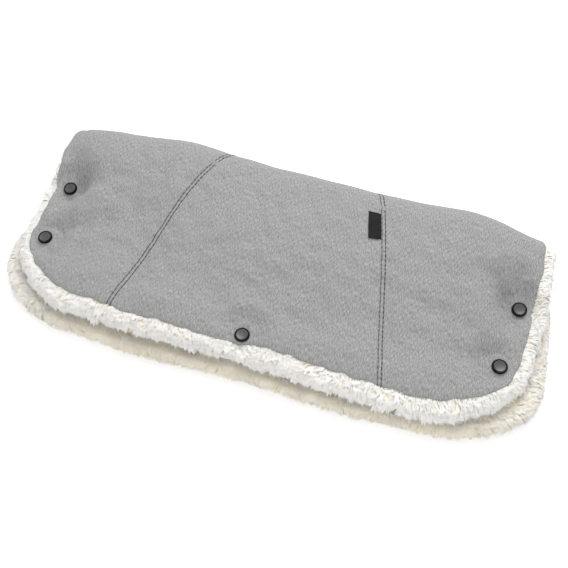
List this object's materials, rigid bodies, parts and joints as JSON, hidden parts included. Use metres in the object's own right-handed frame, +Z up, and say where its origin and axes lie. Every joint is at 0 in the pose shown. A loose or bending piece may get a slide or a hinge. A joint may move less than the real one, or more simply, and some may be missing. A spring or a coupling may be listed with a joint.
{
  "type": "stroller hand muff",
  "caption": "Padded hand muff with plush lining that folds over a pushchair handlebar and closes with press studs.",
  "frame": {"origin": "centre of the muff on the surface that the lower flap lies on", "axes": "+X along the muff and the handlebar, +Y towards the fold over the handlebar, +Z up"},
  "size_m": [0.562, 0.2406, 0.0628],
  "materials": {
    "outer_fabric": "fine grey melange weave, matt",
    "wadding": "white polyester wadding, matt",
    "plush": "cream high-pile plush",
    "label": "black woven tab, bare",
    "black_metal": "black coated press stud, semi-gloss"
  },
  "bodies": {
    "lower_flap": {"outer_left_lower": "outer_fabric", "outer_centre_lower": "outer_fabric", "outer_right_lower": "outer_fabric", "wadding_lower": "wadding", "lining_lower": "plush", "post_left_rear": "black_metal", "post_left_front": "black_metal", "post_centre_front": "black_metal", "post_right_front": "black_metal", "post_right_rear": "black_metal", "stud_left_rear": "black_metal", "stud_left_front": "black_metal", "stud_centre_front": "black_metal", "stud_right_front": "black_metal", "stud_right_rear": "black_metal"},
    "fold_strip_1": {"outer_left_fold_strip_1": "outer_fabric", "outer_centre_fold_strip_1": "outer_fabric", "outer_right_fold_strip_1": "outer_fabric", "wadding_fold_strip_1": "wadding", "lining_fold_strip_1": "plush"},
    "fold_strip_2": {"outer_left_fold_strip_2": "outer_fabric", "outer_centre_fold_strip_2": "outer_fabric", "outer_right_fold_strip_2": "outer_fabric", "wadding_fold_strip_2": "wadding", "lining_fold_strip_2": "plush"},
    "fold_strip_3": {"outer_left_fold_strip_3": "outer_fabric", "outer_centre_fold_strip_3": "outer_fabric", "outer_right_fold_strip_3": "outer_fabric", "wadding_fold_strip_3": "wadding", "lining_fold_strip_3": "plush"},
    "upper_flap": {"outer_left_upper": "outer_fabric", "outer_centre_upper": "outer_fabric", "outer_right_upper": "outer_fabric", "wadding_upper": "wadding", "lining_upper": "plush", "label": "label", "socket_left_rear": "black_metal", "socket_left_front": "black_metal", "socket_centre_front": "black_metal", "socket_right_front": "black_metal", "socket_right_rear": "black_metal", "cap_left_rear": "black_metal", "cap_left_front": "black_metal", "cap_centre_front": "black_metal", "cap_right_front": "black_metal", "cap_right_rear": "black_metal"}
  },
  "joints": [
    {"name": "fold_1", "type": "hinge", "parent": "lower_flap", "child": "fold_strip_1", "pos_m": [0, 0.10111, 0.00236], "axis": [-1, 0, 0], "range_deg": [0, 45]},
    {"name": "fold_2", "type": "hinge", "parent": "fold_strip_1", "child": "fold_strip_2", "pos_m": [0, 0.11789, 0.01914], "axis": [-1, 0, 0], "range_deg": [0, 45]},
    {"name": "fold_3", "type": "hinge", "parent": "fold_strip_2", "child": "fold_strip_3", "pos_m": [0, 0.11789, 0.04286], "axis": [-1, 0, 0], "range_deg": [0, 45]},
    {"name": "fold_4", "type": "hinge", "parent": "fold_strip_3", "child": "upper_flap", "pos_m": [0, 0.10111, 0.05964], "axis": [-1, 0, 0], "range_deg": [0, 45]}
  ],
  "couplings": [
    {"joint": "fold_2", "follows": "fold_1", "ratio": 1},
    {"joint": "fold_3", "follows": "fold_1", "ratio": 1},
    {"joint": "fold_4", "follows": "fold_1", "ratio": 1}
  ]
}
